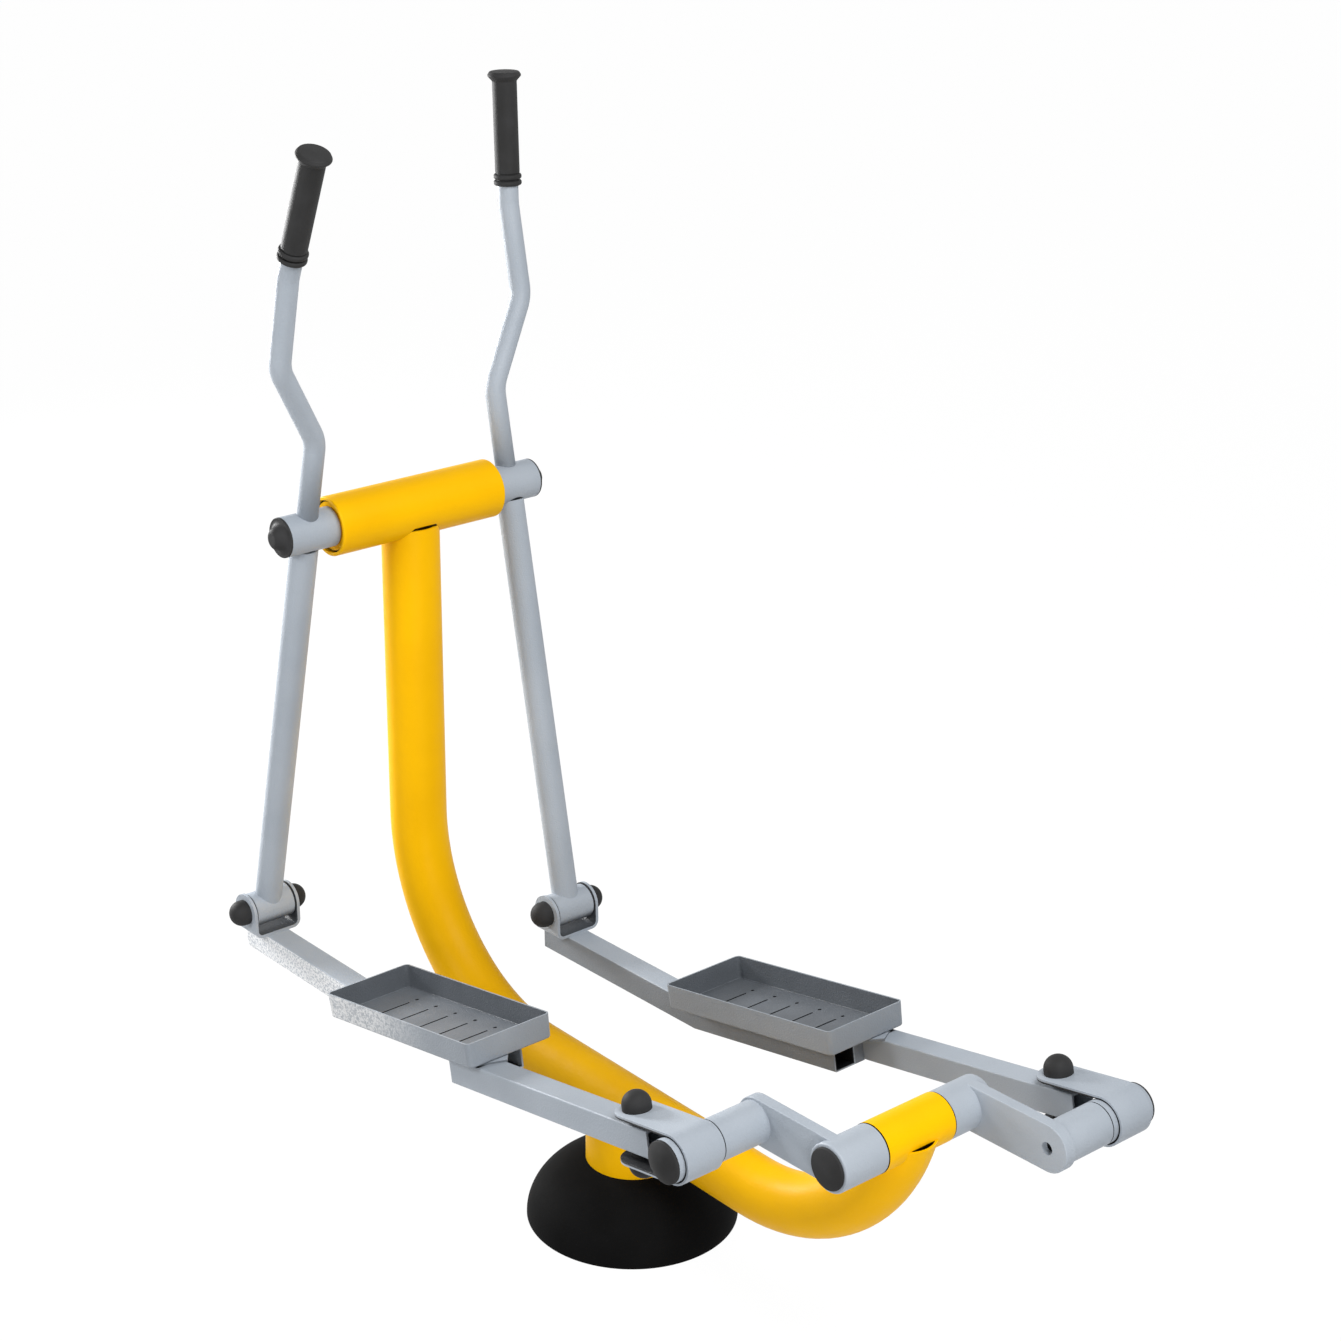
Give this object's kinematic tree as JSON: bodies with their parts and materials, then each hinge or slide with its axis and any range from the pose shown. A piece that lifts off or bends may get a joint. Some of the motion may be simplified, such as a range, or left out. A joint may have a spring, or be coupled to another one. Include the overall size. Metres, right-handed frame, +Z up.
{
  "type": "outdoor cross trainer",
  "caption": "Outdoor cross trainer: bent tube frame on an anchored foot, swinging handle arms, pedal trays on foot bars and a rear crank that carries the foot bars.",
  "frame": {"origin": "centre of the anchor bolt circle, on the underside of the base flange at ground level", "axes": "+X forward, the way the user faces; +Y to the user's left; +Z up"},
  "size_m": [1.4649, 0.589, 1.5858],
  "materials": {
    "yellow_paint": "gloss powder coat",
    "grey_paint": "metallic powder coat",
    "black_plastic": "moulded satin",
    "black_rubber": "moulded matt",
    "steel": "turned",
    "galvanised": "zinc grey",
    "bronze": "sintered"
  },
  "bodies": {
    "frame": {"base_flange": "galvanised", "flange_ribs": "galvanised", "foot_post": "yellow_paint", "base_cover": "black_plastic", "main_tube": "yellow_paint", "top_housing": "yellow_paint", "axle_discs": "yellow_paint", "top_axle": "steel", "axle_fasteners": "steel", "crank_housing": "yellow_paint", "crank_bearings": "steel"},
    "crank": {"crank_shaft": "steel", "crank_hubs": "grey_paint", "crank_plates": "grey_paint", "crank_collars": "grey_paint", "crank_pin_roots": "steel", "crank_caps": "black_plastic"},
    "left_arm": {"left_arm_hub": "grey_paint", "left_arm_bushes": "bronze", "left_hub_cap": "black_plastic", "left_handle_tube": "grey_paint", "left_hand_grip": "black_rubber", "left_lower_arm": "grey_paint", "left_lower_sleeve": "grey_paint"},
    "left_foot_bar": {"left_clevis": "grey_paint", "left_foot_bolts": "steel", "left_foot_nuts": "steel", "left_bolt_caps": "black_plastic", "left_foot_washers": "black_plastic", "left_front_bar": "grey_paint", "left_rear_bar": "grey_paint", "left_pedal_plate": "grey_paint", "left_pedal_tray": "grey_paint", "left_pin_strap": "grey_paint", "left_pin_sleeve": "grey_paint", "left_pin_journal": "steel", "left_pin_bushes": "bronze", "left_pin_cap": "black_plastic"},
    "right_arm": {"right_arm_hub": "grey_paint", "right_arm_bushes": "bronze", "right_hub_cap": "black_plastic", "right_handle_tube": "grey_paint", "right_hand_grip": "black_rubber", "right_lower_arm": "grey_paint", "right_lower_sleeve": "grey_paint"},
    "right_foot_bar": {"right_clevis": "grey_paint", "right_foot_bolts": "steel", "right_foot_nuts": "steel", "right_bolt_caps": "black_plastic", "right_foot_washers": "black_plastic", "right_front_bar": "grey_paint", "right_rear_bar": "grey_paint", "right_pedal_plate": "grey_paint", "right_pedal_tray": "grey_paint", "right_pin_strap": "grey_paint", "right_pin_sleeve": "grey_paint", "right_pin_journal": "steel", "right_pin_bushes": "bronze", "right_pin_cap": "black_plastic"}
  },
  "joints": [
    {"name": "left_arm_swing", "type": "hinge", "parent": "frame", "child": "left_arm", "pos_m": [0.53, 0.1857, 0.973], "axis": [0, 1, 0], "range_deg": [0, 25.16]},
    {"name": "right_arm_swing", "type": "hinge", "parent": "frame", "child": "right_arm", "pos_m": [0.53, -0.1857, 0.973], "axis": [0, 1, 0], "range_deg": [-25.16, 0]},
    {"name": "left_foot_pivot", "type": "hinge", "parent": "left_arm", "child": "left_foot_bar", "pos_m": [0.69137, 0.1857, 0.30111], "axis": [0, 1, 0], "range_deg": [-24.5, 0]},
    {"name": "right_foot_pivot", "type": "hinge", "parent": "right_arm", "child": "right_foot_bar", "pos_m": [0.39038, -0.1857, 0.29625], "axis": [0, 1, 0], "range_deg": [0, 24.5]},
    {"name": "crank_turn", "type": "hinge", "parent": "frame", "child": "crank", "pos_m": [-0.5545, 0, 0.3935], "axis": [0, 1, 0], "range_deg": [0, 180.01]}
  ],
  "couplings": [
    {"joint": "right_arm_swing", "follows": "left_arm_swing", "ratio": -1},
    {"joint": "left_foot_pivot", "follows": "left_arm_swing", "ratio": -0.97359},
    {"joint": "right_foot_pivot", "follows": "left_arm_swing", "ratio": 0.97359},
    {"joint": "crank_turn", "follows": "left_arm_swing", "ratio": 7.1534}
  ]
}
